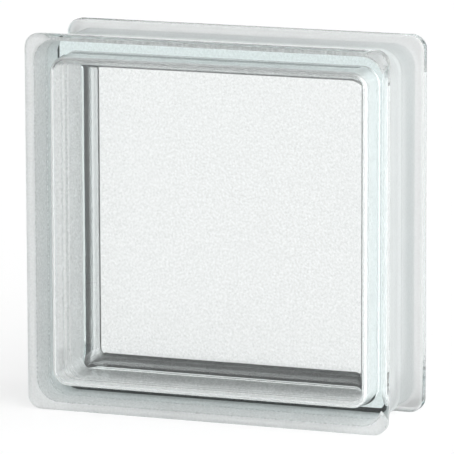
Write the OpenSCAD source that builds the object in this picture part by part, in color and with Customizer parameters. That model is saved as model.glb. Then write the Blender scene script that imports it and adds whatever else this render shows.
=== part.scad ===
// Hollow glass block: two pressed glass halves fused into one sealed piece.
// It stands upright on its lower edge. X is its width, Y its depth with the front face
// towards -Y, and Z its height. The origin is the middle of the underside.

/* [Block] */
// Width across the face
block_w = 240; // [190:1:300]
// Height of the face
block_h = 240; // [190:1:300]
// Depth from face to face
block_d = 80; // [70:1:100]

/* [Lips] */
// Depth of the lip that runs round each face
lip_t = 9; // [7:0.5:12]
// Radius of a lip's corners, seen from the front
lip_corner_r = 9; // [5:0.5:14]
// Rounding between a lip and its face
lip_face_r = 3; // [1:0.25:4]
// Rounding of a lip on its groove side
lip_groove_r = 2; // [0.5:0.25:2.5]

/* [Mortar groove] */
// Depth of the groove that runs round the edge between the lips
groove_depth = 5; // [4:0.25:8]
// Radius of the corners of the groove's floor, seen from the front
floor_corner_r = 14; // [12:0.5:24]
// Fillet between the groove's floor and each lip
groove_root_r = 3; // [0.5:0.25:4]

/* [Walls] */
// Thickness of each face plate
plate_t = 8; // [7:0.5:14]
// Thickness of the edge wall at the seam, under the groove
wall_t = 8.5; // [6:0.5:12]

/* [Front half of the cavity] */
// Draft of the inside of the wall, thicker towards the front plate
front_draft = 3; // [1:0.5:8]
// Fillet between the wall and the front plate
front_fillet = 5.5; // [3:0.5:10]
// Corner radius of the front plate's inner flat
front_corner_r = 4.5; // [2:0.5:20]

/* [Back half of the cavity] */
// Draft of the inside of the wall, thicker towards the back plate
back_draft = 18; // [10:0.5:24]
// Fillet between the wall and the back plate
back_fillet = 4.5; // [3:0.5:10]
// Corner radius of the back plate's inner flat
back_corner_r = 4; // [2:0.5:20]

/* [Fused seam] */
// Width of the bead where the two halves are fused
seam_w = 5; // [3:0.5:8]
// How far the bead stands up from the groove's floor
seam_outer_h = 1; // [0.5:0.1:1.5]
// How far the bead stands into the cavity
seam_inner_h = 0.8; // [0.4:0.1:1.5]

/* [Hidden] */
$fn = 96;

// Half the depth of the cavity, and the inset of its wall at the seam
cavity_half = block_d / 2 - plate_t;
seam_inset = groove_depth + wall_t;
// Depth at which each lip ends and the groove starts
groove_half = block_d / 2 - lip_t;
// Least flat stretch left beside a rounding, which limits the roundings of a thin lip
least_flat = 0.25;
face_r = min(lip_face_r, lip_t - lip_groove_r - least_flat);
// The root fillet meets the lip's side at this angle, so that the two surfaces cross cleanly.
// Its size is limited by the lip's side.
root_cross = 15;
root_spread = 1 - sin(root_cross);
root_r = min(groove_root_r, (groove_depth - lip_groove_r - least_flat) / root_spread);

// Radius of the circle whose cap is w wide and h high
function cap_r(w, h) = (w * w / 4 + h * h) / (2 * h);

// Sweeps its 2D child round the block's four sides, and fills the middle. In the child, x
// runs outwards from the corner centres, which are inset from the block's sides, and y is
// the depth, towards the front face. depth is the child's size in y at x = 0.
module sweep_round(inset, depth) {
    span = [block_w - 2 * inset, block_h - 2 * inset];
    rotate([90, 0, 0]) {
        translate([-span[0] / 2, inset, -depth / 2])
            cube([span[0], span[1], depth]);
        for (turn = [0:3]) {
            along = span[(turn + 1) % 2];
            across = span[turn % 2];
            translate([0, block_h / 2, 0]) rotate([0, 0, 90 * turn]) {
                translate([across / 2, along / 2, 0])
                    rotate([90, 0, 0]) linear_extrude(along) children();
                translate([across / 2, along / 2, 0])
                    rotate_extrude(angle = 90) children();
            }
        }
    }
}

// One lip in section, with its face at the top
module lip_section() {
    translate([0, lip_groove_r - lip_t / 2])
        square([lip_corner_r, lip_t - face_r - lip_groove_r]);
    square([lip_corner_r - face_r, lip_t / 2]);
    translate([lip_corner_r - face_r, lip_t / 2 - face_r])
        circle(face_r);
    translate([0, -lip_t / 2])
        square([lip_corner_r - lip_groove_r, lip_t / 2]);
    translate([lip_corner_r - lip_groove_r, lip_groove_r - lip_t / 2])
        circle(lip_groove_r);
}

// The body between the lips in section: the groove's floor, its root fillets and the bead
module body_section() {
    root_drop = root_r * cos(root_cross);
    bead_r = cap_r(seam_w, seam_outer_h);
    translate([0, lip_t / 2 - block_d / 2])
        square([floor_corner_r, block_d - lip_t]);
    for (side = [0, 1])
        mirror([0, side]) translate([floor_corner_r, groove_half]) difference() {
            translate([-root_r, -root_drop])
                square([root_r + root_r * root_spread, root_drop + lip_t / 2]);
            translate([root_r, -root_drop])
                circle(root_r);
        }
    translate([floor_corner_r + seam_outer_h - bead_r, 0])
        circle(bead_r);
}

// How far the draft and the fillet of one half bring the plate's flat in from the seam's wall
function flat_shift(draft, fillet) =
    (cavity_half - fillet) * tan(draft) + fillet / cos(draft);

// Half of the cavity in section, with its plate at the top and the seam at the bottom: a
// drafted wall, filleted to the plate. seam_r is its corner radius at the seam.
module half_cavity_section(seam_r, draft, fillet) {
    fillet_x = seam_r - flat_shift(draft, fillet);
    fillet_y = cavity_half / 2 - fillet;
    foot_x = fillet_x + fillet * cos(draft);
    foot_y = fillet_y + fillet * sin(draft);
    polygon([
        [0, -cavity_half / 2], [seam_r, -cavity_half / 2], [foot_x, foot_y],
        [fillet_x, cavity_half / 2], [0, cavity_half / 2]
    ]);
    intersection() {
        translate([fillet_x, fillet_y]) circle(fillet);
        translate([0, -cavity_half / 2]) square([seam_r, cavity_half]);
    }
}

// Half of the cavity, swept round the sides, in front of the seam. corner_r is the corner
// radius of its plate's flat, from which the corners' centres follow.
module half_cavity(draft, fillet, corner_r) {
    seam_r = corner_r + flat_shift(draft, fillet);
    translate([0, -cavity_half / 2, 0])
        sweep_round(seam_inset + seam_r, cavity_half)
            half_cavity_section(seam_r, draft, fillet);
}

// The bead of the seam inside the cavity, as a ring that hugs the front half's wall
module inner_bead() {
    bead_r = cap_r(seam_w, seam_inner_h);
    centre_r = front_corner_r + flat_shift(front_draft, front_fillet);
    difference() {
        sweep_round(seam_inset + centre_r, seam_w)
            translate([0, -seam_w / 2]) square([centre_r + wall_t / 2, seam_w]);
        sweep_round(seam_inset + centre_r, seam_w) difference() {
            translate([0, -seam_w / 2]) square([centre_r, seam_w]);
            translate([centre_r - seam_inner_h + bead_r, 0]) circle(bead_r);
        }
    }
}

// The fused block, with its sealed cavity
module glass_block() {
    color("#cfe0dd", 0.45) difference() {
        union() {
            for (side = [0, 1])
                mirror([0, side, 0]) translate([0, lip_t / 2 - block_d / 2, 0])
                    sweep_round(lip_corner_r, lip_t) lip_section();
            sweep_round(groove_depth + floor_corner_r, block_d - lip_t) body_section();
        }
        difference() {
            union() {
                half_cavity(front_draft, front_fillet, front_corner_r);
                mirror([0, 1, 0]) half_cavity(back_draft, back_fillet, back_corner_r);
            }
            inner_bead();
        }
    }
}

glass_block();
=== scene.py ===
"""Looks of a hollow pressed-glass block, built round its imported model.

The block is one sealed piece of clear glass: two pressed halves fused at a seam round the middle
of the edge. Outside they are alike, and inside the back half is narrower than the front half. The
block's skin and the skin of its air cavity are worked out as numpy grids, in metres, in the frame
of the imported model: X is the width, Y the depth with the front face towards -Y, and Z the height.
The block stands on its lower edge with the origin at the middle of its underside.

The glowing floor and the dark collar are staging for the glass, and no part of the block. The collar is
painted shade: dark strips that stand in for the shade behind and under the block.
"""

import logging
import math
from dataclasses import dataclass
from typing import Any

import bmesh
import bpy
import numpy as np
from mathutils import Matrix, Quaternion, Vector


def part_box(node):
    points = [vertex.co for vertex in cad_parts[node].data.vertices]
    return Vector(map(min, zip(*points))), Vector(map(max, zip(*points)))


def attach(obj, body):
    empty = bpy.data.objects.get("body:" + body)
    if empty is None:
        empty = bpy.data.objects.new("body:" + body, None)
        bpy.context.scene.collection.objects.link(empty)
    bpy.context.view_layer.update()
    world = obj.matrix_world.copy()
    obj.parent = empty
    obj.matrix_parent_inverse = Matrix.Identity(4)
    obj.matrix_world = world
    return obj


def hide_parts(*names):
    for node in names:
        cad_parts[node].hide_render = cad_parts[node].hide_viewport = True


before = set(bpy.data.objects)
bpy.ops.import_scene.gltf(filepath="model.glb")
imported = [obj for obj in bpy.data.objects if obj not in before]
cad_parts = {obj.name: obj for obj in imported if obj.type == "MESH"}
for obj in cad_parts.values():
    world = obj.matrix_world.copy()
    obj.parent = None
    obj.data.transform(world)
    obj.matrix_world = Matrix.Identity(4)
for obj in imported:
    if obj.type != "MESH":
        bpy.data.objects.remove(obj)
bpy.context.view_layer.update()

log = logging.getLogger("glass_block")

MM = 0.001

Colour = tuple[float, float, float, float]
WHITE: Colour = (1.0, 1.0, 1.0, 1.0)


def place_object(name: str, data: bpy.types.ID) -> bpy.types.Object:
    """Makes an object at the origin and links it to the scene.

    Args:
        name: the object's name.
        data: its mesh or camera.

    Returns:
        The object.
    """
    made = bpy.data.objects.new(name, data)
    bpy.context.scene.collection.objects.link(made)
    return made


# --------------------------------------------------------------------------------------------
# Shader expressions
# --------------------------------------------------------------------------------------------


class Val:
    """One socket of a node tree, with Python's operators turned into Math nodes."""

    def __init__(self, tree: "Tree", socket: bpy.types.NodeSocket | None) -> None:
        """Keeps the tree and the socket."""
        self.tree = tree
        self.socket = socket

    def _math(self, operation: str, *values: Any) -> "Val":
        """Makes one Math node of the operation on the values."""
        return self.tree.node("ShaderNodeMath", {"operation": operation}, dict(enumerate(values)))

    def __add__(self, other: Any) -> "Val":
        """Self plus other."""
        return self._math("ADD", self, other)

    __radd__ = __add__

    def __mul__(self, other: Any) -> "Val":
        """Self times other."""
        return self._math("MULTIPLY", self, other)

    __rmul__ = __mul__

    def __sub__(self, other: Any) -> "Val":
        """Self minus other."""
        return self._math("SUBTRACT", self, other)

    def __rsub__(self, other: Any) -> "Val":
        """Other minus self."""
        return self._math("SUBTRACT", other, self)

    def __abs__(self) -> "Val":
        """Size of self, without its sign."""
        return self._math("ABSOLUTE", self)

    def largest(self, other: Any) -> "Val":
        """The larger of self and other."""
        return self._math("MAXIMUM", self, other)

    def clamped(self) -> "Val":
        """Self held between 0 and 1."""
        return self._math("MINIMUM", self._math("MAXIMUM", self, 0.0), 1.0)

    def rising(self, low: float, high: float) -> "Val":
        """0 below low, 1 above high and even between them; falling where high is the lower."""
        return ((self - low) * (1 / (high - low))).clamped()


class Tree:
    """A node tree being built: one method makes every node."""

    def __init__(self, owner: Any) -> None:
        """Empties the owner's node tree.

        Args:
            owner: a material or a world.
        """
        owner.use_nodes = True
        self.nodes = owner.node_tree.nodes
        self.links = owner.node_tree.links
        self.nodes.clear()

    def node(
        self,
        kind: str,
        settings: dict[str, Any] | None = None,
        inputs: dict[Any, Any] | None = None,
        output: Any = 0,
    ) -> Val:
        """Makes one node.

        Args:
            kind: the node's type.
            settings: attributes of the node, set before its sockets.
            inputs: socket names or numbers, each with a value or a Val to link.
            output: the name or number of the socket to return.

        Returns:
            The node's output socket, which is empty for a tree's closing node.
        """
        made = self.nodes.new(kind)
        for name, value in (settings or {}).items():
            setattr(made, name, value)
        for name, value in (inputs or {}).items():
            if isinstance(value, Val):
                self.links.new(value.socket, made.inputs[name])
            else:
                made.inputs[name].default_value = value
        return Val(self, made.outputs[output] if made.outputs else None)


# --------------------------------------------------------------------------------------------
# Surfaces
# --------------------------------------------------------------------------------------------


@dataclass(frozen=True)
class RoundedOutline:
    """The block's outline on edge: nested rectangles with round corners, which sections are carried round.

    Attributes:
        width, height: the block's size across its face.
        side_cells: mesh cells from the middle of one corner to the middle of the next.
        corner_cells: those of them that lie on the two half corners.
    """

    width: float
    height: float
    side_cells: int = 96
    corner_cells: int = 16

    @property
    def stations(self) -> np.ndarray:
        """The parameter s of each station once round, four sides of one unit each."""
        return np.arange(4 * self.side_cells) / self.side_cells

    def run(self, s: np.ndarray) -> tuple[np.ndarray, np.ndarray]:
        """The place of each station on the outline, free of any size.

        Side k covers s from k to k + 1, from the middle of one corner to the middle of the next.
        The first and last part of a side turn 45 degrees about a corner centre, and the middle
        part runs straight between two corner centres.

        Args:
            s: parameters, in sides.

        Returns:
            The station's corner or side as (..., 2) shares from -1 to 1 of the half width and half
            height between corner centres, and the unit outward directions, both in X and Z.
        """
        side = np.floor(s).astype(int) % 4
        share = s - np.floor(s)
        arc_share = self.corner_cells / 2 / self.side_cells
        bend = np.clip(share / arc_share, 0, 1) - 1 + np.clip((share - 1) / arc_share + 1, 0, 1)
        angle = side * math.pi / 2 + bend * math.pi / 4
        out = np.stack([np.cos(angle), np.sin(angle)], axis=-1)
        along = np.clip((share - arc_share) / (1 - 2 * arc_share), 0, 1) * 2 - 1
        face = np.round(np.stack([np.cos(side * math.pi / 2), np.sin(side * math.pi / 2)], axis=-1))
        turn = np.stack([-face[..., 1], face[..., 0]], axis=-1)
        return face + turn * along[..., None], out

    def ring(self, s: np.ndarray, inset: np.ndarray, corner: np.ndarray) -> np.ndarray:
        """Points of the rectangle that lies inset from the block's sides.

        A point is the corner or side share times the half size between corner centres, plus the
        outward direction times the corner radius, where the half size is the block's less inset
        and radius.

        Args:
            s: parameters of the stations.
            inset: the rectangle's inset from the block's sides.
            corner: the radius of its corners.

        Returns:
            (..., 2) points in X and Z.
        """
        share, out = self.run(s)
        half = np.stack([self.width / 2 - inset - corner, self.height / 2 - inset - corner], axis=-1)
        return share * half + out * np.asarray(corner)[..., None] + [0.0, self.height / 2]

    def sweep(self, section: np.ndarray) -> np.ndarray:
        """Carries a section round the outline.

        Args:
            section: (n, 3) rows of inset, corner radius and depth.

        Returns:
            A (stations, n, 3) grid.
        """
        stations = np.broadcast_to(self.stations[:, None], (4 * self.side_cells, len(section)))
        flat = self.ring(stations, section[:, 0], section[:, 1])
        return np.stack([flat[..., 0], np.broadcast_to(section[:, 2], stations.shape), flat[..., 1]], axis=-1)

    def plate(self, edge: np.ndarray) -> np.ndarray:
        """A flat plate inside one ring.

        Ring m of a square grid is the edge shrunk towards the middle by m over the number of
        rings, so the plate has no pole and its edge meets the sweep's stations.

        Args:
            edge: the inset, corner radius and depth of the plate's edge.

        Returns:
            A (side_cells + 1, side_cells + 1, 3) grid.
        """
        rings = self.side_cells // 2
        i, j = np.meshgrid(*[np.arange(-rings, rings + 1)] * 2, indexing="ij")
        ring = np.maximum(abs(i), abs(j))
        safe = np.maximum(ring, 1)
        on = [(i == ring) & (j < ring), (j == ring) & (i > -ring), (i == -ring) & (j > -ring)]
        share = np.select(on, [j + ring, ring - i, ring - j], i + ring) / (2 * safe)
        side = np.select(on, [0, 1, 2], 3)
        middle = np.array([0.0, self.height / 2])
        rim = self.ring(side + share, np.full(ring.shape, edge[0]), np.full(ring.shape, edge[1]))
        flat = middle + (rim - middle) * (ring / rings)[..., None]
        return np.stack([flat[..., 0], np.full(ring.shape, edge[2]), flat[..., 1]], axis=-1)


class Shell:
    """Collects grids of points and makes one closed mesh of them."""

    def __init__(self) -> None:
        """Starts empty."""
        self.points: list[np.ndarray] = []
        self.quads: list[np.ndarray] = []
        self.count = 0

    def add(self, grid: np.ndarray, looped: bool = False, flipped: bool = False) -> None:
        """Adds a grid of points as quads.

        Args:
            grid: (n, m, 3) points.
            looped: whether the last row joins the first.
            flipped: whether the faces' winding is reversed.
        """
        rows, columns = grid.shape[:2]
        index = np.arange(rows * columns).reshape(rows, columns) + self.count
        if looped:
            index = np.concatenate([index, index[:1]])
        corners = [index[:-1, :-1], index[1:, :-1], index[1:, 1:], index[:-1, 1:]]
        quads = np.stack(corners, axis=-1).reshape(-1, 4)
        self.points.append(grid.reshape(-1, 3))
        self.quads.append(quads[:, ::-1] if flipped else quads)
        self.count += rows * columns

    def build(self, name: str, weld: float = 1e-6) -> bpy.types.Object:
        """Makes the object, with coincident edges of the grids welded and its faces smooth.

        Args:
            name: the piece's name.
            weld: points nearer than this become one, in metres.

        Returns:
            The object, linked to the scene.
        """
        mesh = bpy.data.meshes.new(name)
        mesh.from_pydata(np.concatenate(self.points), [], np.concatenate(self.quads))
        net = bmesh.new()
        net.from_mesh(mesh)
        bmesh.ops.remove_doubles(net, verts=net.verts, dist=weld)
        net.to_mesh(mesh)
        net.free()
        mesh.shade_smooth()
        return place_object(name, mesh)


def arc(centre: tuple[float, float], radius: float, start: float, end: float, cells: int) -> np.ndarray:
    """Points on a circle from one angle to another.

    Args:
        centre: the circle's centre, outward and depth.
        radius: its radius.
        start, end: the angles in degrees, from the outward direction towards greater depth.
        cells: how many cells the stretch has.

    Returns:
        (cells + 1, 2) points.
    """
    angle = np.radians(np.linspace(start, end, cells + 1))
    return np.stack([centre[0] + radius * np.cos(angle), centre[1] + radius * np.sin(angle)], axis=-1)


def line(a: np.ndarray, b: np.ndarray, cells: int) -> np.ndarray:
    """Evenly spaced points inside the stretch from a to b, without its ends."""
    t = np.linspace(0, 1, cells + 1)[1:-1, None]
    return np.asarray(a) * (1 - t) + np.asarray(b) * t


def cap_radius(width: float, height: float) -> float:
    """Radius of the circle whose cap has this width and height."""
    return (width * width / 4 + height * height) / (2 * height)


# --------------------------------------------------------------------------------------------
# Finishes
# --------------------------------------------------------------------------------------------


@dataclass(frozen=True)
class PressedGlass:
    """Clear pressed glass with a faint grey-green body, gritty where mortar grips it.

    The faces, the lips' outer edges and the cavity are fire-polished. The floor of the groove and
    the lips' sides towards it keep the matt, gritty skin of the mould: rough clear glass under a
    white bloom, which scatters some light back and lets the rest through.

    Attributes:
        groove_from: distance from the block's axis, along X or Z, past which the groove lies.
        groove_half: half the depth of the groove, along Y.
        middle: height of the block's axis.
        ior: index of refraction.
        body_colour, body_density: tint and strength of the light that the glass takes up.
        polish_spread: roughness of the polished skin at the clouds' brightest.
        grit_roughness, grit_spread: roughness of the matt skin, and how much the grain varies it.
        grit_height: height of the matt skin's grain, in millimetres.
        ripple_height: height of the long waves over all of the glass, in millimetres.
        ripple_scale, cloud_scale, grain_scale: features to the metre of the three noises.
        ripple_detail, cloud_detail, grain_detail: how many finer layers each noise has.
        film_colour, clean_colour: tints of the specks and of the glass between them.
        film_span: the grain's values between which one turns into the other.
        bloom, bloom_spread: share of the matt skin that is white, and how much the grain varies it.
        bloom_through: share of the bloom's light that passes through it.
        bloom_colour, bloom_gloss: its colour and its specular level.
        edge: width of the matt skin's soft edge.
    """

    groove_from: float
    groove_half: float
    middle: float
    ior: float = 1.52
    body_colour: Colour = (0.885, 0.93, 0.93, 1.0)
    body_density: float = 31.0
    polish_spread: float = 0.012
    grit_roughness: float = 0.6
    grit_spread: float = 0.3
    grit_height: float = 0.25
    ripple_height: float = 0.12
    ripple_scale: float = 28.0
    ripple_detail: float = 1.0
    cloud_scale: float = 60.0
    cloud_detail: float = 3.0
    grain_scale: float = 650.0
    grain_detail: float = 2.0
    film_colour: Colour = (0.9, 0.905, 0.9, 1.0)
    clean_colour: Colour = WHITE
    film_span: tuple[float, float] = (0.42, 0.58)
    bloom: float = 0.5
    bloom_spread: float = 0.5
    bloom_through: float = 0.75
    bloom_colour: Colour = (0.98, 0.985, 0.985, 1.0)
    bloom_gloss: float = 0.2
    edge: float = 0.0015

    def grit(self, tree: Tree, place: Val) -> Val:
        """Where the matt skin is.

        A point is in the groove where the larger of its distances from the axis in X and Z is past
        groove_from and its distance in Y is within groove_half.

        Args:
            tree: the material's tree.
            place: Object coordinates.

        Returns:
            1 in the groove, 0 on the rest, with a soft edge.
        """
        x, y, z = (tree.node("ShaderNodeSeparateXYZ", inputs={0: place}, output=a) for a in "XYZ")
        off_axis = abs(x).largest(abs(z - self.middle))
        outside = off_axis.rising(self.groove_from - self.edge, self.groove_from)
        return outside * abs(y).rising(self.groove_half + self.edge, self.groove_half)

    def matt_roughness(self, grain: Val) -> Val:
        """Roughness of the matt skin, which follows the grain."""
        return (grain - 0.5) * self.grit_spread + self.grit_roughness

    def bloom_skin(self, tree: Tree, grain: Val) -> Val:
        """The white bloom of the matt skin.

        Args:
            tree: the material's tree.
            grain: fine noise that roughens it.

        Returns:
            A shader that scatters some light back and lets the share bloom_through pass.
        """
        back = tree.node(
            "ShaderNodeBsdfPrincipled",
            inputs={
                "Base Color": self.bloom_colour,
                "Roughness": self.matt_roughness(grain).clamped(),
                "Specular IOR Level": self.bloom_gloss,
            },
        )
        through = tree.node("ShaderNodeBsdfTranslucent", inputs={"Color": self.bloom_colour})
        return tree.node("ShaderNodeMixShader", inputs={0: self.bloom_through, 1: back, 2: through})

    def material(self) -> bpy.types.Material:
        """Makes the material: polished glass, mixed with the bloom where the matt skin is.

        Returns:
            The material, whose volume takes up light in the glass's thickness.
        """
        made = bpy.data.materials.new("clear_glass")
        tree = Tree(made)
        place = tree.node("ShaderNodeTexCoord", output="Object")
        cloud = self.noise(tree, place, self.cloud_scale, self.cloud_detail)
        grain = self.noise(tree, place, self.grain_scale, self.grain_detail)
        ripple = self.noise(tree, place, self.ripple_scale, self.ripple_detail)
        grit = self.grit(tree, place)
        relief = ripple * self.ripple_height + grain * grit * self.grit_height
        bump = tree.node(
            "ShaderNodeBump", inputs={"Height": relief, "Strength": 1.0, "Distance": MM}, output="Normal"
        )
        film = tree.node(
            "ShaderNodeMix",
            {"data_type": "RGBA"},
            {0: grain.rising(*self.film_span), 6: self.film_colour, 7: self.clean_colour},
            2,
        )
        clear = tree.node(
            "ShaderNodeBsdfPrincipled",
            inputs={
                "Base Color": film,
                "Roughness": (cloud * self.polish_spread + self.matt_roughness(grain) * grit).clamped(),
                "IOR": self.ior,
                "Transmission Weight": 1.0,
                "Normal": bump,
            },
        )
        cover = (((grain - 0.5) * self.bloom_spread + self.bloom) * grit).clamped()
        skin = tree.node(
            "ShaderNodeMixShader", inputs={0: cover, 1: clear, 2: self.bloom_skin(tree, grain)}
        )
        body = tree.node(
            "ShaderNodeVolumeAbsorption",
            inputs={"Color": self.body_colour, "Density": self.body_density},
        )
        tree.node("ShaderNodeOutputMaterial", inputs={"Surface": skin, "Volume": body})
        return made

    @staticmethod
    def noise(tree: Tree, place: Val, scale: float, detail: float) -> Val:
        """Even noise about 0.5, with the scale's number of features to the metre."""
        return tree.node("ShaderNodeTexNoise", inputs={"Vector": place, "Scale": scale, "Detail": detail})


@dataclass(frozen=True)
class LightTable:
    """Pale, evenly glowing matt floor, as a light table under glass.

    Attributes:
        colour, roughness, gloss: its colour, roughness and specular level.
        glow: strength of the white light that it gives off.
    """

    colour: Colour = (0.3, 0.3, 0.3, 1.0)
    roughness: float = 0.9
    gloss: float = 0.1
    glow: float = 0.72

    def material(self) -> bpy.types.Material:
        """Makes the material.

        Returns:
            The material.
        """
        made = bpy.data.materials.new("light_table")
        tree = Tree(made)
        skin = tree.node(
            "ShaderNodeBsdfPrincipled",
            inputs={
                "Base Color": self.colour,
                "Roughness": self.roughness,
                "Specular IOR Level": self.gloss,
                "Emission Color": WHITE,
                "Emission Strength": self.glow,
            },
        )
        tree.node("ShaderNodeOutputMaterial", inputs={"Surface": skin})
        return made


@dataclass(frozen=True)
class PaintedShadeCard:
    """Painted shade: the matt black of the collar, which stands in for the shade behind and under the block.
    """

    colour: Colour = (0.006, 0.012, 0.012, 1.0)

    def material(self) -> bpy.types.Material:
        """Makes the material.

        Returns:
            The material.
        """
        made = bpy.data.materials.new("painted_shade_card")
        tree = Tree(made)
        skin = tree.node(
            "ShaderNodeBsdfPrincipled",
            inputs={"Base Color": self.colour, "Roughness": 1.0, "Specular IOR Level": 0.0},
        )
        tree.node("ShaderNodeOutputMaterial", inputs={"Surface": skin})
        return made


# --------------------------------------------------------------------------------------------
# The block
# --------------------------------------------------------------------------------------------


@dataclass(frozen=True)
class CavityHalf:
    """The shape of one half of the cavity, in degrees and millimetres.

    Attributes:
        draft: the wall's lean, thicker towards the plate.
        fillet_r: radius of the fillet between the wall and the plate.
        corner_r: corner radius of the plate's inner flat.
    """

    draft: float
    fillet_r: float
    corner_r: float

    def flat_shift(self, half: float) -> float:
        """How far the plate's flat lies further in than the wall at the seam.

        The wall leans in by its rise to the fillet times the tangent of the draft, and the fillet
        adds its radius over the cosine of the draft.

        Args:
            half: the depth from the seam to the plate.

        Returns:
            The shift, in millimetres.
        """
        draft = math.radians(self.draft)
        return (half - self.fillet_r) * math.tan(draft) + self.fillet_r / math.cos(draft)


@dataclass
class FusedBlock:
    """The whole block: outer skin with lips and mortar groove, and the skin of its cavity.

    Sizes are in millimetres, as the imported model's own are.

    Attributes:
        width, height, depth: overall size.
        lip_t: depth of the lip that runs round each face.
        lip_corner_r: radius of a lip's corners, seen from the front.
        lip_face_r, lip_groove_r: rounding of a lip at its face and on its groove side.
        groove_depth: depth of the mortar groove.
        floor_corner_r: radius of the corners of the groove's floor.
        groove_root_r: fillet between the groove's floor and each lip.
        plate_t: thickness of each face plate.
        wall_t: thickness of the edge wall at the seam.
        front, back: shape of the two halves of the cavity.
        seam_w, seam_outer_h, seam_inner_h: the bead's width and its heights outside and inside.
        matt_inset: how far in from the sides the matt skin may reach. It lies between the corners
            of the groove's floor and the cavity, so it takes in all of the groove and no polish.
        face_cells, groove_cells, root_cells, bead_cells, fillet_cells: mesh cells on the round
            stretches of the section.
        side_cells, floor_cells, wall_cells: those on a lip's side, the groove's floor and the
            cavity's wall.
    """

    width: float
    height: float
    depth: float
    lip_t: float = 9.0
    lip_corner_r: float = 9.0
    lip_face_r: float = 3.0
    lip_groove_r: float = 2.0
    groove_depth: float = 5.0
    floor_corner_r: float = 14.0
    groove_root_r: float = 2.8
    plate_t: float = 8.0
    wall_t: float = 8.5
    front: CavityHalf = CavityHalf(draft=3.0, fillet_r=5.5, corner_r=4.5)
    back: CavityHalf = CavityHalf(draft=18.0, fillet_r=4.5, corner_r=4.0)
    seam_w: float = 5.0
    seam_outer_h: float = 1.0
    seam_inner_h: float = 0.8
    matt_inset: float = 11.0
    face_cells: int = 10
    groove_cells: int = 8
    root_cells: int = 8
    bead_cells: int = 6
    fillet_cells: int = 12
    side_cells: int = 3
    floor_cells: int = 9
    wall_cells: int = 18

    @classmethod
    def from_frame(cls) -> "FusedBlock":
        """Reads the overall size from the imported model.

        Returns:
            The block, with its other sizes as they stand.
        """
        low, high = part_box("glass_block")
        width, depth, height = ((b - a) / MM for a, b in zip(low, high))
        return cls(width=width, height=height, depth=depth)

    @staticmethod
    def about(centre_inset: float, points: np.ndarray) -> np.ndarray:
        """Turns (outward, depth) points about a corner centre into (inset, corner radius, depth)."""
        return np.stack([centre_inset - points[:, 0], points[:, 0], points[:, 1]], axis=-1)

    def half_edge(self) -> np.ndarray:
        """The outer edge in section, from the front face to the seam.

        It runs from the flat of the face round the lip, down its side with a fillet at the foot,
        along the floor of the groove and up the bead to its crown. The lips and the groove's
        floor have corner centres of their own.

        Returns:
            (n, 3) rows of inset, corner radius and depth.
        """
        front = -self.depth / 2
        foot = front + self.lip_t
        lip, floor = self.lip_corner_r, self.floor_corner_r
        bead_r = cap_radius(self.seam_w, self.seam_outer_h)
        bead_turn = math.degrees(math.asin(self.seam_w / 2 / bead_r))
        face_r, groove_r, root_r = self.lip_face_r, self.lip_groove_r, self.groove_root_r
        face = arc((lip - face_r, front + face_r), face_r, -90, 0, self.face_cells)
        back = arc((lip - groove_r, foot - groove_r), groove_r, 0, 90, self.groove_cells)
        root = arc((floor + root_r, foot + root_r), root_r, 270, 180, self.root_cells)
        bead = arc((floor + self.seam_outer_h - bead_r, 0.0), bead_r, -bead_turn, 0, self.bead_cells)
        outer = np.concatenate([face, line(face[-1], back[0], self.side_cells), back])
        inner = np.concatenate([root, line(root[-1], bead[0], self.floor_cells), bead])
        return np.concatenate([self.about(lip, outer), self.about(self.groove_depth + floor, inner)])

    def half_cavity(self, shape: CavityHalf) -> np.ndarray:
        """The cavity of one half in section, from its plate to the seam, as the front half lies.

        It runs from the plate round the fillet, up the drafted wall and over the bead. The corner
        radius changes evenly with the inset, from the plate's flat to the seam, where both halves
        have the front half's.

        Args:
            shape: the half's draft, fillet and corners.

        Returns:
            (n, 3) rows of inset, corner radius and depth.
        """
        half = self.depth / 2 - self.plate_t
        seam = self.groove_depth + self.wall_t
        flat = seam + shape.flat_shift(half)
        seam_corner_r = self.front.corner_r + self.front.flat_shift(half)
        bead_r = cap_radius(self.seam_w, self.seam_inner_h)
        bead_turn = math.degrees(math.asin(self.seam_w / 2 / bead_r))
        crown = (bead_r - seam - self.seam_inner_h, 0.0)
        fillet = arc((-flat, shape.fillet_r - half), shape.fillet_r, -90, -shape.draft, self.fillet_cells)
        bead = arc(crown, bead_r, 180 + bead_turn, 180, self.bead_cells)
        section = np.concatenate([fillet, line(fillet[-1], bead[0], self.wall_cells), bead])
        corner = np.interp(section[:, 0], [-flat, -seam], [shape.corner_r, seam_corner_r])
        return np.stack([-section[:, 0], corner, section[:, 1]], axis=-1)

    def skin(self, shell: Shell, front: np.ndarray, back: np.ndarray, inward: bool) -> None:
        """Adds one closed skin to the shell: a swept edge between two plates.

        Args:
            shell: the shell to add to.
            front: the front half's section, from its plate to the seam.
            back: the back half's section as the front half lies, which is mirrored.
            inward: whether the faces point towards the middle, as the cavity's do.
        """
        outline = RoundedOutline(self.width * MM, self.height * MM)
        section = np.concatenate([front, back[-2::-1] * [1, 1, -1]]) * MM
        shell.add(outline.sweep(section), looped=True, flipped=not inward)
        shell.add(outline.plate(section[0]), flipped=inward)
        shell.add(outline.plate(section[-1]), flipped=not inward)

    def finish(self) -> PressedGlass:
        """The glass, with its matt skin laid in the groove.

        Returns:
            The finish, with its places in metres.
        """
        return PressedGlass(
            groove_from=(self.width / 2 - self.matt_inset) * MM,
            groove_half=(self.depth / 2 - self.lip_t) * MM,
            middle=self.height / 2 * MM,
        )

    def build(self) -> bpy.types.Object:
        """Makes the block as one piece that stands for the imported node.

        Returns:
            The block's object.
        """
        shell = Shell()
        edge = self.half_edge()
        self.skin(shell, edge, edge, inward=False)
        self.skin(shell, self.half_cavity(self.front), self.half_cavity(self.back), inward=True)
        made = shell.build("fused_glass")
        made.data.materials.append(self.finish().material())
        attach(made, "root")
        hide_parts("glass_block")
        log.info("fused_glass: %d faces", len(made.data.polygons))
        return made


# --------------------------------------------------------------------------------------------
# The studio
# --------------------------------------------------------------------------------------------


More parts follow.
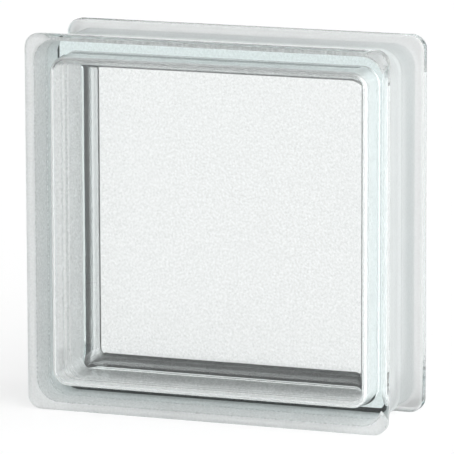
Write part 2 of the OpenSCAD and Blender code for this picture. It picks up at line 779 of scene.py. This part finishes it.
@dataclass
class Studio:
    """A pale glowing floor, soft light from all round, a dark collar of painted shade and the camera.

    Lengths are in metres and angles in degrees.

    Attributes:
        floor_size: width of the square floor.
        wall_light, ceiling_light: the room's brightness at floor level and overhead.
        wall_top: the direction's heights between which one turns into the other.
        box_light: what the soft box adds.
        box_heading: the direction of its middle.
        box_edge: how closely a direction points at it where its light starts and is full.
        collar_gap: clearance between the block and the collar.
        collar_depth: how far the collar's sides and top run back from the block.
        collar_foot: how far its foot runs back over the floor.
        groove_strip: where the strip under the groove starts and ends, in from the back face.
        azimuth, elevation, roll: the camera's view.
        lens: its focal length, in millimetres.
        place: where it stands.
        clip: the nearest and the farthest that it sees.
        bounces: how often light may pass from face to face in the glass.
    """

    floor_size: float = 30.0
    wall_light: float = 1.25
    ceiling_light: float = 0.12
    wall_top: tuple[float, float] = (0.0, 0.45)
    box_light: float = 3.2
    box_heading: tuple[float, float, float] = (0.88, -0.40, 0.26)
    box_edge: tuple[float, float] = (0.3, 0.9)
    collar_gap: float = 0.0008
    collar_depth: float = 0.012
    collar_foot: float = 0.026
    groove_strip: tuple[float, float] = (0.020, 0.0095)
    azimuth: float = 20.827
    elevation: float = 10.498
    roll: float = -0.189
    lens: float = 384.36
    place: tuple[float, float, float] = (1.06467, -2.79683, 0.67192)
    clip: tuple[float, float] = (0.05, 100.0)
    bounces: int = 32

    def floor(self) -> None:
        """Makes the floor, level with the block's underside."""
        half = self.floor_size / 2
        mesh = bpy.data.meshes.new("floor")
        corners = [(-half, -half, 0), (half, -half, 0), (half, half, 0), (-half, half, 0)]
        mesh.from_pydata(corners, [], [(0, 1, 2, 3)])
        made = place_object("floor", mesh)
        made.data.materials.append(LightTable().material())

    def collar(self) -> None:
        """Lays dark strips close round the back of the block, which only the glass shows.

        Three run straight back from its sides and top, one lies on the floor behind its foot and
        one under the back half of its groove. They are painted shade: they darken the rounded edges
        of the glass where the shade behind and under the block would fall. The camera and matt
        surfaces don't see them, and they cast no shadow.
        """
        low, high = (Vector(c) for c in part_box("glass_block"))
        gap = self.collar_gap
        x0, x1, z0, z1 = low.x - gap, high.x + gap, low.z + gap / 2, high.z + gap
        near, far, foot = (high.y - gap + d for d in (0, self.collar_depth, self.collar_foot))
        groove = [high.y - d for d in self.groove_strip]
        strips = [
            [(x0, near, z0), (x0, far, z0), (x0, far, z1), (x0, near, z1)],
            [(x1, near, z0), (x1, far, z0), (x1, far, z1), (x1, near, z1)],
            [(x0, near, z1), (x0, far, z1), (x1, far, z1), (x1, near, z1)],
            [(x0, near, z0), (x0, foot, z0), (x1, foot, z0), (x1, near, z0)],
            [(x0, groove[0], z0), (x0, groove[1], z0), (x1, groove[1], z0), (x1, groove[0], z0)],
        ]
        points = [corner for strip in strips for corner in strip]
        mesh = bpy.data.meshes.new("painted_shade_collar")
        mesh.from_pydata(points, [], np.arange(len(points)).reshape(-1, 4))
        made = place_object("painted_shade_collar", mesh)
        made.data.materials.append(PaintedShadeCard().material())
        # Painted shade: the dark strips are hidden from the camera and from matt surfaces, and cast no
        # shadow.
        made.visible_camera = made.visible_diffuse = made.visible_shadow = False

    def sky(self) -> None:
        """Makes the soft light: a large soft box at the right in a room with a dim ceiling.

        The brightness falls from the walls' to the ceiling's by a smooth step of the direction's
        height. The soft box adds a smooth step of how closely the direction points at it.
        """
        world = bpy.data.worlds.new("studio")
        bpy.context.scene.world = world
        tree = Tree(world)
        heading = tree.node("ShaderNodeTexCoord", output="Generated")
        up = tree.node("ShaderNodeSeparateXYZ", inputs={0: heading}, output="Z")
        towards = tree.node(
            "ShaderNodeVectorMath", {"operation": "DOT_PRODUCT"}, {0: heading, 1: self.box_heading}, "Value"
        )
        room = self.step(tree, up, self.wall_top, self.wall_light, self.ceiling_light)
        box = self.step(tree, towards, self.box_edge, 0.0, self.box_light)
        light = tree.node("ShaderNodeBackground", inputs={"Color": WHITE, "Strength": room + box})
        tree.node("ShaderNodeOutputWorld", inputs={"Surface": light})

    @staticmethod
    def step(tree: Tree, value: Val, span: tuple[float, float], low: float, high: float) -> Val:
        """A smooth step from low to high as the value crosses the span."""
        places = {"Value": value, "From Min": span[0], "From Max": span[1], "To Min": low, "To Max": high}
        return tree.node("ShaderNodeMapRange", {"interpolation_type": "SMOOTHSTEP"}, places)

    def camera(self) -> None:
        """Places the camera to the right of the block and a little above it."""
        data = bpy.data.cameras.new("camera")
        data.lens = self.lens
        data.clip_start, data.clip_end = self.clip
        made = place_object("camera", data)
        a, e = math.radians(self.azimuth), math.radians(self.elevation)
        back = Vector((math.sin(a) * math.cos(e), -math.cos(a) * math.cos(e), math.sin(e)))
        made.location = Vector(self.place)
        made.rotation_mode = "QUATERNION"
        level = (-back).to_track_quat("-Z", "Y")
        made.rotation_quaternion = level @ Quaternion((0, 0, 1), math.radians(self.roll))
        bpy.context.scene.camera = made

    def build(self) -> None:
        """Makes the whole studio, and sets how the glass's light is followed and shown."""
        self.camera()
        self.floor()
        self.collar()
        self.sky()
        scene = bpy.context.scene
        scene.view_settings.view_transform = "Standard"
        scene.cycles.max_bounces = self.bounces
        scene.cycles.transmission_bounces = self.bounces
        scene.cycles.glossy_bounces = self.bounces


def main() -> None:
    """Builds the studio and the block."""
    logging.basicConfig(level=logging.INFO, format="%(name)s: %(message)s")
    Studio().build()
    FusedBlock.from_frame().build()


if __name__ == "__main__":
    main()
